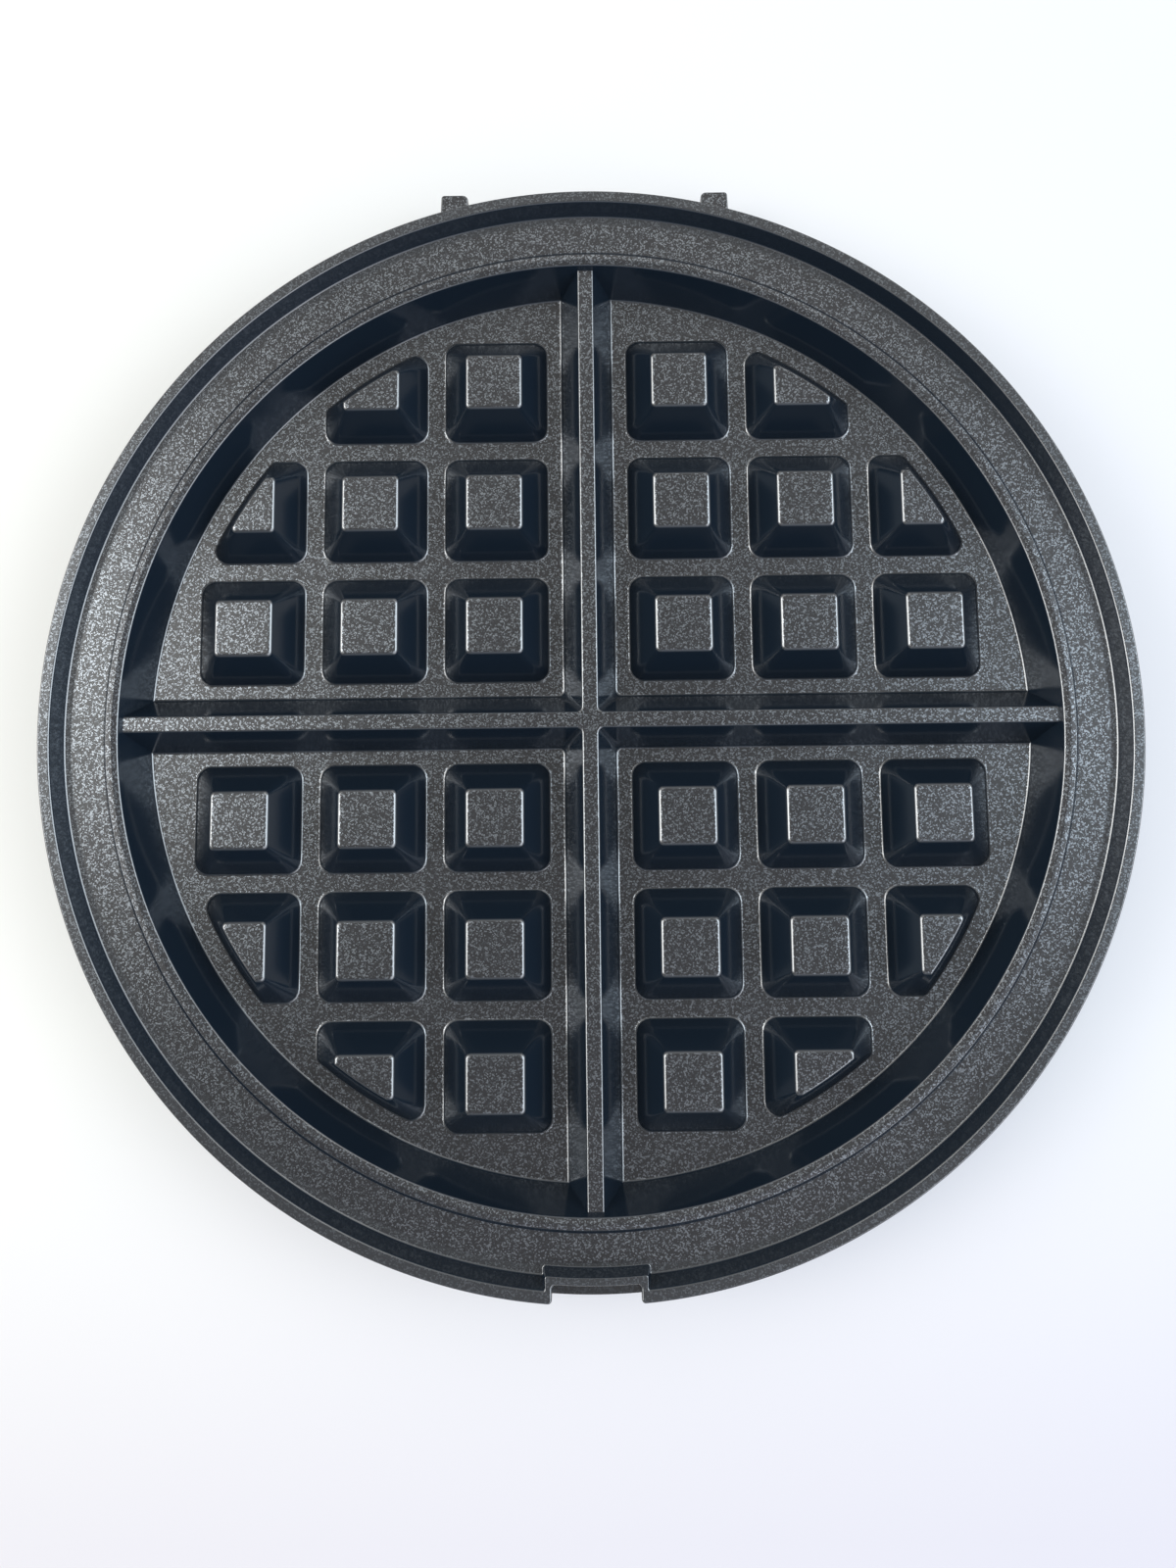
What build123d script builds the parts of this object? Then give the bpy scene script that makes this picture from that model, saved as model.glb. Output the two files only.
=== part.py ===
from build123d import *
import os
from math import sqrt

# Removable round waffle plate, cooking face up. Millimetres, +Z up.
# The origin is on the plate's axis, at the level of its flat underside.
# The front latch notch is at -Y and the two rear lugs are at +Y.
# The plate is one die casting, drawn here as its regions, which touch face to face.

# Overall size and the heights, each one measured from the level named
plate_diameter = 208.0
floor_thickness = 3.0
gutter_above_floor = 10.0
gutter_thickness = 2.5
rim_above_gutter = 4.9
ridge_above_gutter = 0.95
ridge_slope_drop = 0.55
rib_below_ridge_edge = 1.3
peg_below_ridge_edge = 1.1
skirt_drop = 4.5

# The rings, counted inwards from the plate's edge
rim_top_width = 2.3
rim_foot_run = 1.3
gutter_width = 7.5
ridge_width = 3.0
cavity_wall_run = 3.5
cavity_wall_thickness = 2.8
skirt_wall = 3.0

# Rounds of the rings
rim_inner_round = 0.35
rim_outer_round = 0.6
foot_round = 0.45
cavity_foot_round = 0.5
skirt_edge_round = 0.6
seam_land = 0.15

# Front latch notch
notch_width = 16.0
notch_depth = 3.35
notch_wall_top = 1.4
notch_side_land = 0.15
notch_round_margin = 0.1
notch_foot_spread = 0.8
latch_boss_depth = 5.6

# Rear lugs
lug_spacing = 52.6
lug_width = 5.0
lug_reach = 2.3
lug_thickness = 4.0
lug_corner_round = 0.8

# Cross ribs
rib_top_width = 3.0
rib_base_width = 10.1
rib_edge_round = 0.45
rib_foot_round = 0.6
rib_plan_round = 0.8
rib_groove_wall = 2.4
rib_cap_wall = 3.0
hub_half_width = 9.0

# Waffle pegs
pegs_per_side = 3
rib_channel_width = 2.98
peg_channel_width = 3.65
outer_peg_clearance = 4.13
cut_peg_clearance = 3.7
peg_side_run = 4.875
peg_base_corner = 2.6
peg_top_corner = 0.9
cut_peg_tip_width = 1.6
peg_core_wall = 2.3
peg_cap_wall = 2.8
cut_peg_core_height = 4.5
cut_peg_core_tip_width = 1.0

# Underside gussets
gusset_count = 12
gusset_thickness = 2.0
gusset_height = 3.4

# Places worked out from the sizes
outer_radius = plate_diameter / 2
floor_top = floor_thickness
gutter_top = floor_top + gutter_above_floor
gutter_underside = gutter_top - gutter_thickness
rim_top = gutter_top + rim_above_gutter
ridge_top = gutter_top + ridge_above_gutter
ridge_edge = ridge_top - ridge_slope_drop
rib_top = ridge_edge - rib_below_ridge_edge
peg_top = ridge_edge - peg_below_ridge_edge
skirt_bottom = gutter_underside - skirt_drop
tall = rim_top + 1.0

rim_inner_radius = outer_radius - rim_top_width
rim_foot_radius = rim_inner_radius - rim_foot_run
skirt_inner_radius = outer_radius - skirt_wall
ridge_outer_radius = rim_foot_radius - gutter_width
ridge_inner_radius = ridge_outer_radius - ridge_width
cavity_radius = ridge_inner_radius - cavity_wall_run
wall_run_per_rise = cavity_wall_run / (ridge_edge - floor_top)

notch_round = rim_outer_round + notch_round_margin
notch_face_radius = outer_radius - notch_depth
notch_inner_top_radius = notch_face_radius - notch_wall_top
notch_foot_radius = notch_inner_top_radius - rim_foot_run
notch_top_half = notch_width / 2 + rim_outer_round + rim_inner_round + notch_side_land
notch_foot_half = notch_top_half + notch_foot_spread


def tangent_length(round_radius, run, rise):
    """How far a foot fillet reaches along the floor from the foot of a sloping wall."""
    lean = sqrt(run * run + rise * rise)
    return round_radius * (lean - run) / rise


rim_foot_land = tangent_length(foot_round, rim_foot_run, rim_above_gutter) + seam_land
cavity_foot_land = (
    tangent_length(cavity_foot_round, cavity_wall_run, ridge_edge - floor_top) + seam_land
)
rib_side_run = (rib_base_width - rib_top_width) / 2
rib_foot_land = tangent_length(rib_foot_round, rib_side_run, rib_top - floor_top) + seam_land
gutter_outer_radius = rim_foot_radius - rim_foot_land
ridge_seam_radius = ridge_outer_radius + seam_land
floor_radius = cavity_radius - cavity_foot_land
wall_radius_at_seam = cavity_radius + wall_run_per_rise * (gutter_underside - floor_top)
wall_outer_at_seam = wall_radius_at_seam + cavity_wall_thickness * sqrt(1 + wall_run_per_rise**2)
wall_outer_at_bottom = wall_outer_at_seam - wall_run_per_rise * gutter_underside


def width_that_fits(count, start, gap, reach):
    """The width of the pegs in the row next to a rib, where so many of them fill the row up
    to the point at which the corner of the last one is at the given distance from the axis."""
    last_start = start + (count - 1) * gap
    square = count**2 + 1
    linear = 2 * (count * last_start + start)
    constant = last_start**2 + start**2 - reach**2
    return (sqrt(linear**2 - 4 * square * constant) - linear) / (2 * square)


first_peg_edge = rib_base_width / 2 + rib_channel_width
peg_base_width = width_that_fits(
    pegs_per_side, first_peg_edge, peg_channel_width, cavity_radius - outer_peg_clearance
)
peg_top_width = peg_base_width - 2 * peg_side_run
peg_pitch = peg_base_width + peg_channel_width
first_peg_centre = first_peg_edge + peg_base_width / 2
peg_centres = [first_peg_centre + peg_pitch * step for step in range(pegs_per_side)]


def profile(*corners):
    """A closed section in the XZ plane; a third number rounds that corner."""
    face = make_face(Plane.XZ * Polyline(*[c[:2] for c in corners], close=True))
    for r, z, *rounding in corners:
        if rounding:
            corner = face.vertices().sort_by_distance((r, 0, z))[0]
            face = fillet(corner, rounding[0])
    return face


def ring(*corners):
    """The section turned a full circle about the plate's axis."""
    return revolve(profile(*corners), Axis.Z)


def disc(radius, bottom, top):
    return Pos(0, 0, bottom) * extrude(Circle(radius), top - bottom)


def slab(x_low, x_high, y_low, y_high, z_low, z_high):
    middle = Pos((x_low + x_high) / 2, (y_low + y_high) / 2, (z_low + z_high) / 2)
    return middle * Box(x_high - x_low, y_high - y_low, z_high - z_low)


def tapered_bar(half_low, half_high, z_low, z_high, y_low, y_high):
    """A bar along Y whose half width changes from one height to the other."""
    section = Plane.XZ * Polyline(
        (-half_low, z_low), (half_low, z_low), (half_high, z_high), (-half_high, z_high), close=True
    )
    return Pos(0, y_high, 0) * extrude(make_face(section), y_high - y_low, dir=(0, -1, 0))


def cavity_wall():
    return ring(
        (floor_radius, 0),
        (wall_outer_at_bottom, 0),
        (wall_outer_at_seam, gutter_underside),
        (wall_radius_at_seam, gutter_underside),
        (cavity_radius, floor_top, cavity_foot_round),
        (floor_radius, floor_top),
    )


def sealing_ridge():
    """The bead that stands round the cavity, between it and the gutter."""
    return ring(
        (wall_radius_at_seam, gutter_underside),
        (ridge_seam_radius, gutter_underside),
        (ridge_seam_radius, gutter_top),
        (ridge_outer_radius, gutter_top),
        (ridge_outer_radius - ridge_width * 0.22, ridge_top, ridge_width * 0.2),
        (ridge_inner_radius + ridge_width * 0.3, ridge_top, ridge_width * 0.2),
        (ridge_inner_radius, ridge_edge, ridge_width * 0.1),
    )


def notch_ring(inner_low, inner_high, outer, bottom, top):
    """A ring whose inner face leans, used for the wall that bends round the notch."""
    return ring((inner_low, bottom), (outer, bottom), (outer, top), (inner_high, top))


def notch_wall_space():
    """The gutter-side body of the notch, which leans back from its foot to the rim top."""
    leaning_ring = notch_ring(
        notch_foot_radius, notch_inner_top_radius, outer_radius, gutter_top, rim_top
    )
    sides = tapered_bar(
        notch_foot_half, notch_top_half, gutter_top, rim_top, -outer_radius - 1, -outer_radius * 0.8
    )
    return leaning_ring & sides


def notch_recess():
    """The open room of the notch, right through, with its two inner corners rounded."""
    past_edge = outer_radius + 5
    half = notch_width / 2
    room = notch_ring(notch_face_radius, notch_face_radius, past_edge, 0, tall)
    room = room & slab(-half, half, -past_edge, -outer_radius * 0.8, 0, tall)
    corners = [e for e in room.edges().filter_by(Axis.Z) if middle_radius(e) < outer_radius]
    return fillet(corners, notch_round)


def notch_foot_space():
    """The straight-sided room round the notch that the rim takes out of the gutter."""
    inner = notch_foot_radius - rim_foot_land
    outer = notch_ring(inner, inner, outer_radius, gutter_underside, gutter_top)
    half = notch_foot_half + rim_foot_land
    return outer & slab(-half, half, -outer_radius - 1, -outer_radius * 0.8, 0, tall)


def outer_rim():
    body = ring(
        (gutter_outer_radius, gutter_underside),
        (outer_radius, gutter_underside),
        (outer_radius, rim_top),
        (rim_inner_radius, rim_top),
        (rim_foot_radius, gutter_top),
        (gutter_outer_radius, gutter_top),
    )
    body = body + notch_foot_space() + notch_wall_space()
    body = body - notch_recess()
    tips = [e for e in body.edges().filter_by(Axis.Z) if on_notch_tip(e)]
    body = fillet(tips, notch_round)
    body = fillet([e for e in body.edges() if on_foot(e)], foot_round)
    body = fillet(top_face(body).outer_wire().edges(), rim_outer_round)
    return fillet(top_face(body).inner_wires()[0].edges(), rim_inner_round)


def top_face(body):
    return body.faces().sort_by(Axis.Z)[-1]


def on_level(edge, level):
    box = edge.bounding_box()
    return abs(box.min.Z - level) < 0.001 and abs(box.max.Z - level) < 0.001


def middle_radius(edge):
    point = edge.position_at(0.5)
    return sqrt(point.X**2 + point.Y**2)


def on_notch_tip(edge):
    """True for the upright edges where the notch's sides meet the outer wall."""
    on_side = abs(abs(edge.center().X) - notch_width / 2) < 0.01
    return on_side and middle_radius(edge) > outer_radius - 0.01


def on_foot(edge):
    """True for the edges where the rim's wall meets the gutter."""
    radius = middle_radius(edge)
    inside = notch_foot_radius - 0.01 <= radius <= rim_foot_radius + 0.01
    on_ring_seam = abs(radius - gutter_outer_radius) < 0.01
    on_side_seam = abs(abs(edge.center().X) - notch_foot_half - rim_foot_land) < 0.01
    return on_level(edge, gutter_top) and inside and not on_ring_seam and not on_side_seam


def overflow_gutter():
    body = ring(
        (ridge_seam_radius, gutter_underside),
        (gutter_outer_radius, gutter_underside),
        (gutter_outer_radius, gutter_top),
        (ridge_seam_radius, gutter_top),
    )
    return body - notch_foot_space()


def skirt_ring(wall):
    """A ring below the rim, with its lower outer edge rounded."""
    return ring(
        (outer_radius - wall, skirt_bottom),
        (outer_radius, skirt_bottom, skirt_edge_round),
        (outer_radius, gutter_underside),
        (outer_radius - wall, gutter_underside),
    )


def latch_ledge():
    """The shelf in the foot of the notch that the latch presses on."""
    return skirt_ring(notch_depth) & notch_recess()


def outer_skirt():
    """The wall below the rim, with a thicker boss behind the latch ledge."""
    half = notch_top_half
    boss_space = slab(-half, half, -outer_radius - 1, -outer_radius * 0.8, 0, tall)
    body = skirt_ring(skirt_wall) + (skirt_ring(latch_boss_depth) & boss_space)
    return body - notch_recess()


def rear_lug(side):
    middle = side * lug_spacing / 2
    half = lug_width / 2
    body = slab(
        middle - half,
        middle + half,
        outer_radius * 0.9,
        outer_radius + lug_reach,
        gutter_underside - lug_thickness,
        gutter_underside,
    )
    corners = body.edges().filter_by(Axis.Z).sort_by(Axis.Y)[-2:]
    body = fillet(corners, lug_corner_round)
    return body - disc(outer_radius, 0, tall)


def underside_gussets():
    """Short radial webs under the gutter, from the cavity wall to the skirt."""
    low = gutter_underside - gusset_height
    wall_outer_at_low = wall_outer_at_seam - wall_run_per_rise * gusset_height
    trough = ring(
        (wall_outer_at_low, low),
        (skirt_inner_radius, low),
        (skirt_inner_radius, gutter_underside),
        (wall_outer_at_seam, gutter_underside),
    )
    step = 360 / gusset_count
    webs = []
    for turn in range(gusset_count):
        web = slab(
            0, outer_radius, -gusset_thickness / 2, gusset_thickness / 2, low, gutter_underside
        )
        webs.append((Rot(0, 0, step * (turn + 0.5)) * web) & trough)
    return webs


def cavity_space():
    """The room inside the cavity wall, which the ribs fill from side to side."""
    return ring(
        (0, 0),
        (floor_radius, 0),
        (floor_radius, floor_top),
        (cavity_radius, floor_top, cavity_foot_round),
        (ridge_inner_radius, ridge_edge),
        (0, ridge_edge),
    )


def rib_bar(edge_round, foot_rounding):
    """One rib right across the plate, along Y, on its strip of floor."""
    top_half, base_half = rib_top_width / 2, rib_base_width / 2
    land_half = base_half + rib_foot_land
    section = profile(
        (-land_half, 0),
        (land_half, 0),
        (land_half, floor_top),
        (base_half, floor_top, *foot_rounding),
        (top_half, rib_top, *edge_round),
        (-top_half, rib_top, *edge_round),
        (-base_half, floor_top, *foot_rounding),
        (-land_half, floor_top),
    )
    return Pos(0, outer_radius, 0) * extrude(section, plate_diameter, dir=(0, -1, 0))


def rib_groove():
    """The open groove that keeps the rib's wall even from below."""
    lean = rib_side_run / (rib_top - floor_top)
    mouth_half = rib_base_width / 2 - rib_groove_wall + lean * floor_top
    top = rib_top - rib_cap_wall
    return tapered_bar(
        mouth_half, mouth_half - lean * top, 0, top, hub_half_width, outer_radius * 2
    )


def divider_rib(turn):
    """The arm of the cross that points along +Y, turned to its place."""
    arm = rib_bar([rib_edge_round], [rib_foot_round]) & cavity_space()
    arm = arm & slab(-outer_radius, outer_radius, hub_half_width, outer_radius, 0, tall)
    end_wall = disc(floor_radius - cavity_wall_thickness, 0, tall)
    arm = arm - (rib_groove() & end_wall)
    return Rot(0, 0, turn) * arm


def centre_hub():
    """The middle of the cross, solid down to a flat pad."""
    bar = rib_bar([], [])
    half = hub_half_width
    hub = (bar + Rot(0, 0, 90) * bar) & slab(-half, half, -half, half, 0, tall)
    valleys = [e for e in hub.edges() if on_valley(e)]
    hub = fillet(valleys, rib_plan_round)
    foot = [e for e in hub.edges() if on_level(e, floor_top) and not on_hub_seam(e)]
    hub = fillet(foot, rib_foot_round)
    top = [e for e in hub.edges() if on_level(e, rib_top) and not on_hub_seam(e)]
    return fillet(top, rib_edge_round)


def on_valley(edge):
    """True for the four sloping lines where the ribs' sides meet."""
    centre, box = edge.center(), edge.bounding_box()
    on_diagonal = abs(abs(centre.X) - abs(centre.Y)) < 0.001
    return on_diagonal and box.max.Z - box.min.Z > (rib_top - floor_top) / 2


def on_hub_seam(edge):
    """True for the hub's edges that lie on its seams with the arms and the floors."""
    centre = edge.center()
    reach = max(abs(centre.X), abs(centre.Y))
    nearness = min(abs(centre.X), abs(centre.Y))
    seam = rib_base_width / 2 + rib_foot_land
    return abs(reach - hub_half_width) < 0.001 or abs(nearness - seam) < 0.001


def square_outline(centre_x, centre_y, width, corner, level):
    return Pos(centre_x, centre_y, level) * RectangleRounded(width, width, corner)


def cut_peg_tip_radius(width, tip_width):
    """Where an arc about the plate's axis leaves the cut peg's outline this wide at its tip."""
    return sqrt(
        (peg_centres[-1] - width / 2 + tip_width) ** 2 + (peg_centres[-2] + width / 2) ** 2
    )


def cut_outline(width, cut_radius, corner, level):
    """The outline of the peg next to the corner of the grid, cut by the round cavity."""
    x_low = peg_centres[-1] - width / 2
    y_low = peg_centres[-2] - width / 2
    y_high = y_low + width
    right = (sqrt(cut_radius**2 - y_low**2), y_low)
    left = (sqrt(cut_radius**2 - y_high**2), y_high)
    middle_angle = ((right[1] / right[0]) + (left[1] / left[0])) / 2
    middle_x = cut_radius / sqrt(1 + middle_angle**2)
    middle = (middle_x, middle_x * middle_angle)
    outline = (
        Line((x_low, y_low), right)
        + ThreePointArc(right, middle, left)
        + Line(left, (x_low, y_high))
        + Line((x_low, y_high), (x_low, y_low))
    )
    face = make_face(outline)
    return Pos(0, 0, level) * fillet(face.vertices(), corner)


def cored_peg(base, top, mouth, end):
    """A peg that rises from the underside, hollow from below so that its wall is even."""
    foot = extrude(base, floor_top, dir=(0, 0, -1))
    return foot + loft([base, top], ruled=True) - loft([mouth, end], ruled=True)


def full_peg(centre_x, centre_y):
    core_mouth = peg_base_width - 2 * peg_core_wall
    core_top = peg_top_width - 2 * peg_core_wall
    core_corner = peg_top_corner / 2
    return cored_peg(
        square_outline(centre_x, centre_y, peg_base_width, peg_base_corner, floor_top),
        square_outline(centre_x, centre_y, peg_top_width, peg_top_corner, peg_top),
        square_outline(centre_x, centre_y, core_mouth, core_corner, 0),
        square_outline(centre_x, centre_y, core_top, core_corner, peg_top - peg_cap_wall),
    )


def cut_peg():
    """The peg next to the grid's corner, cut along an arc that follows the cavity wall."""
    base_cut = cavity_radius - cut_peg_clearance
    top_cut = cut_peg_tip_radius(peg_top_width, cut_peg_tip_width)
    core_mouth = peg_base_width - 2 * peg_core_wall
    core_run = peg_side_run * cut_peg_core_height / (peg_top - floor_top)
    core_end = core_mouth - 2 * core_run
    end_cut = cut_peg_tip_radius(core_end, cut_peg_core_tip_width)
    small_corner = peg_top_corner / 2
    return cored_peg(
        cut_outline(peg_base_width, base_cut, peg_base_corner, floor_top),
        cut_outline(peg_top_width, top_cut, small_corner, peg_top),
        cut_outline(core_mouth, base_cut - peg_core_wall, small_corner, 0),
        cut_outline(core_end, end_cut, small_corner, floor_top + cut_peg_core_height),
    )


def quadrant_pegs():
    """The eight pegs of the quadrant that has positive X and Y."""
    pegs = [
        full_peg(x, y)
        for row, y in enumerate(peg_centres)
        for column, x in enumerate(peg_centres)
        if row + column < pegs_per_side
    ]
    cut = cut_peg()
    swapped = Rot(0, 0, -90) * cut.mirror(Plane.YZ)
    return pegs + [cut, swapped]


def quadrant_floor(pegs):
    start = rib_base_width / 2 + rib_foot_land
    body = disc(floor_radius, 0, floor_top) & slab(start, outer_radius, start, outer_radius, 0, tall)
    for peg in pegs:
        outline = make_face(peg.faces().sort_by(Axis.Z)[0].outer_wire().edges())
        body = body - extrude(outline, floor_top, dir=(0, 0, 1))
    return body


def save(name, *solids):
    shapes = [s for solid in solids for s in solid.solids()]
    shape = shapes[0] if len(shapes) == 1 else Compound(children=shapes)
    export_step(shape, f"parts/{name}.step")


def main():
    os.makedirs("parts", exist_ok=True)
    save("outer_rim", outer_rim())
    save("outer_skirt", outer_skirt())
    save("latch_ledge", latch_ledge())
    save("overflow_gutter", overflow_gutter())
    save("sealing_ridge", sealing_ridge())
    save("cavity_wall", cavity_wall())
    save("underside_gussets", *underside_gussets())
    save("centre_hub", centre_hub())
    for name, turn in (("rear", 0), ("left", 90), ("front", 180), ("right", 270)):
        save(f"divider_rib_{name}", divider_rib(turn))
    for name, side in (("left", -1), ("right", 1)):
        save(f"rear_lug_{name}", rear_lug(side))

    pegs = quadrant_pegs()
    floor = quadrant_floor(pegs)
    places = {
        "rear_right": lambda s: s,
        "rear_left": lambda s: s.mirror(Plane.YZ),
        "front_right": lambda s: s.mirror(Plane.XZ),
        "front_left": lambda s: s.mirror(Plane.YZ).mirror(Plane.XZ),
    }
    for name, place in places.items():
        save(f"grid_floor_{name}", place(floor))
        save(f"waffle_pegs_{name}", *[place(peg) for peg in pegs])


main()
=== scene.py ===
from math import asin, atan2, cos, hypot, pi, radians, sin, sqrt, tan

import bpy
from mathutils import Matrix, Vector
from mathutils.geometry import delaunay_2d_cdt


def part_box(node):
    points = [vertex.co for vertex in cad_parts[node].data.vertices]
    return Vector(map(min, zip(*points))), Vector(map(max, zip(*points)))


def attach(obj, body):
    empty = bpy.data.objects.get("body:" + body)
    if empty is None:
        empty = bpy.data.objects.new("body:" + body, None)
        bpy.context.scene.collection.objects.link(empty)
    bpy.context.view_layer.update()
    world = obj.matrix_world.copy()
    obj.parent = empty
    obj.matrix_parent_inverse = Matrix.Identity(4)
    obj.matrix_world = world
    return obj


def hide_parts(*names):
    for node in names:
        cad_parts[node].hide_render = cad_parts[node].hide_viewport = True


# Removable round waffle plate, cooking face up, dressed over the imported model.
# Lengths are in millimetres and turn into metres where a mesh, a texture or the camera is made.
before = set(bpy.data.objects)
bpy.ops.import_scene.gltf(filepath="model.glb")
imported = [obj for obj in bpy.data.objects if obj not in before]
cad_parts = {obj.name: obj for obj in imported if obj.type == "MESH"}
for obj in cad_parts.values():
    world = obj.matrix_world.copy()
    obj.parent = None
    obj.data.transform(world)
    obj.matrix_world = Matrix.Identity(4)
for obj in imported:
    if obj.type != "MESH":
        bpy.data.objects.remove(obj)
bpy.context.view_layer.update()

MM = 0.001


def low(node):
    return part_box(node)[0] / MM


def high(node):
    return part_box(node)[1] / MM


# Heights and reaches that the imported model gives
outer_radius = high("outer_skirt").x
rim_top = high("outer_rim").z
gutter_top = high("overflow_gutter").z
gutter_underside = low("overflow_gutter").z
skirt_bottom = low("outer_skirt").z
ridge_top = high("sealing_ridge").z
floor_top = high("grid_floor_rear_right").z
rib_top = high("divider_rib_rear").z
peg_top = high("waffle_pegs_rear_right").z
hub_half = high("centre_hub").x
lug_bottom = low("rear_lug_right").z
lug_reach = high("rear_lug_right").y
lug_left_x = low("rear_lug_right").x
lug_right_x = high("rear_lug_right").x

# Rings, counted inwards from the plate's edge
rim_top_width = 2.3
rim_foot_run = 1.3
gutter_width = 7.5
ridge_width = 3.0
ridge_slope_drop = 0.55
ridge_step_run = 0.62
ridge_step_drop = 0.14
ridge_crown_run = 1.6
ridge_inner_drop = 0.26
cavity_wall_run = 3.5
cavity_wall_thickness = 2.8
skirt_wall = 3.0
rim_inner_round = 0.5
rim_outer_round = 0.4
rim_foot_round = 0.6
dish_width = 0.85
dish_rise = 0.1
dish_round = 2.0
ridge_foot_round = 0.05
ridge_top_round = 0.25
ridge_crown_round = 2.0
ridge_inner_round = 0.45
cavity_foot_round = 0.6
skirt_edge_round = 0.6
seam_land = 0.15
rim_inner_radius = outer_radius - rim_top_width
rim_foot_radius = rim_inner_radius - rim_foot_run
ridge_outer_radius = rim_foot_radius - gutter_width
ridge_inner_radius = ridge_outer_radius - ridge_width
ridge_edge = ridge_top - ridge_slope_drop
cavity_radius = ridge_inner_radius - cavity_wall_run
wall_lean = cavity_wall_run / (ridge_edge - floor_top)
rim_split_radius = outer_radius - rim_top_width / 2

# Front notch
notch_half = 8.0
notch_depth = 3.35
notch_wall_top = 1.4
notch_side_wall = 1.2
notch_side_lean = 0.38
notch_face_lean = 0.45
notch_round = 0.7
notch_wall_round = 0.35
notch_mouth_round = 0.4
notch_mouth_round_least = 0.1
notch_face_share = 0.8
notch_margin = radians(1.4)
latch_boss_depth = 5.6
# The rounds of the notch's wall change by these shares of the way in from the rim's top edge
notch_mouth_sharpening = 0.15
notch_wall_softening = 0.2
notch_wall_way_least = -0.3
# A corner that looks sharp, yet has as many points as a rounded one
sharp_round = 0.01
notch_boss_draft = 0.01

# Cross ribs
rib_top_half = 1.5
rib_base_half = 5.05
rib_edge_round = 0.45
rib_foot_round = 0.6
rib_valley_round = 1.2
rib_groove_wall = 2.4
rib_cap_wall = 3.0

# Waffle pegs
peg_centres = (18.33, 42.58, 66.83)
peg_base_half = 10.3
peg_side_run = 4.875
peg_top_half = peg_base_half - peg_side_run
peg_base_corner = 2.6
peg_top_corner = 0.9
peg_foot_round = 0.6
peg_edge_round = 0.9
peg_core_wall = 2.3
peg_cap_wall = 2.8
core_corner = 0.45
cut_floor_strip = 3.7
cut_base_radius = cavity_radius - cut_floor_strip
cut_top_radius = 79.2
cut_tip_corner = 0.8
cut_blunt_share = 0.5
cut_arc_start = 0.24
cut_arc_share = 0.64
cut_core_height = 4.5
cut_core_lean = 1.74

# Rear lugs
lug_inner_round = 1.1
lug_outer_round = 0.6
lug_tip_flare = 0.15
lug_foot_flare = 0.45
lug_edge_round = 0.3
lug_sink = 0.02

# Fineness of the meshes
ring_steps = 360
round_steps = 5
arc_steps = 10
place_digits = 4
normal_digits = 3
sheet_merge = 1e-5
# Asks Blender's triangulation for the triangles within the loops
sheet_within_loops = 1

# A point of an outline is (x, y, normal before it, normal after it)
BEFORE, AFTER = 2, 3


def unit(x, y):
    length = hypot(x, y) or 1.0
    return x / length, y / length


def turned(vector, angle):
    x, y = vector
    return x * cos(angle) - y * sin(angle), x * sin(angle) + y * cos(angle)


def rounded(corners):
    """Points of a closed anticlockwise outline, each with the outward normal on either side of it.
    A corner is (x, y, round): 0 keeps it sharp, and None marks a point on a smooth stretch."""
    points = []
    for number, (x, y, size) in enumerate(corners):
        last, following = corners[number - 1], corners[(number + 1) % len(corners)]
        heading = unit(x - last[0], y - last[1])
        leaving = unit(following[0] - x, following[1] - y)
        normal = (heading[1], -heading[0])
        next_normal = (leaving[1], -leaving[0])
        if size is None:
            middle = unit(normal[0] + next_normal[0], normal[1] + next_normal[1])
            points.append((x, y, middle, middle))
        elif size == 0:
            points.append((x, y, normal, next_normal))
        else:
            cross = heading[0] * leaving[1] - heading[1] * leaving[0]
            turn = atan2(cross, heading[0] * leaving[0] + heading[1] * leaving[1])
            side = 1 if turn > 0 else -1
            reach = size * tan(abs(turn) / 2)
            centre_x = x - heading[0] * reach - side * normal[0] * size
            centre_y = y - heading[1] * reach - side * normal[1] * size
            for step in range(round_steps + 1):
                outward = turned(normal, turn * step / round_steps)
                rounded_x = centre_x + side * outward[0] * size
                rounded_y = centre_y + side * outward[1] * size
                points.append((rounded_x, rounded_y, outward, outward))
    return points


def foot_reach(size, run, rise):
    """How far a foot round reaches along the level from the foot of a sloping wall."""
    return size * (hypot(run, rise) - run) / rise


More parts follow.
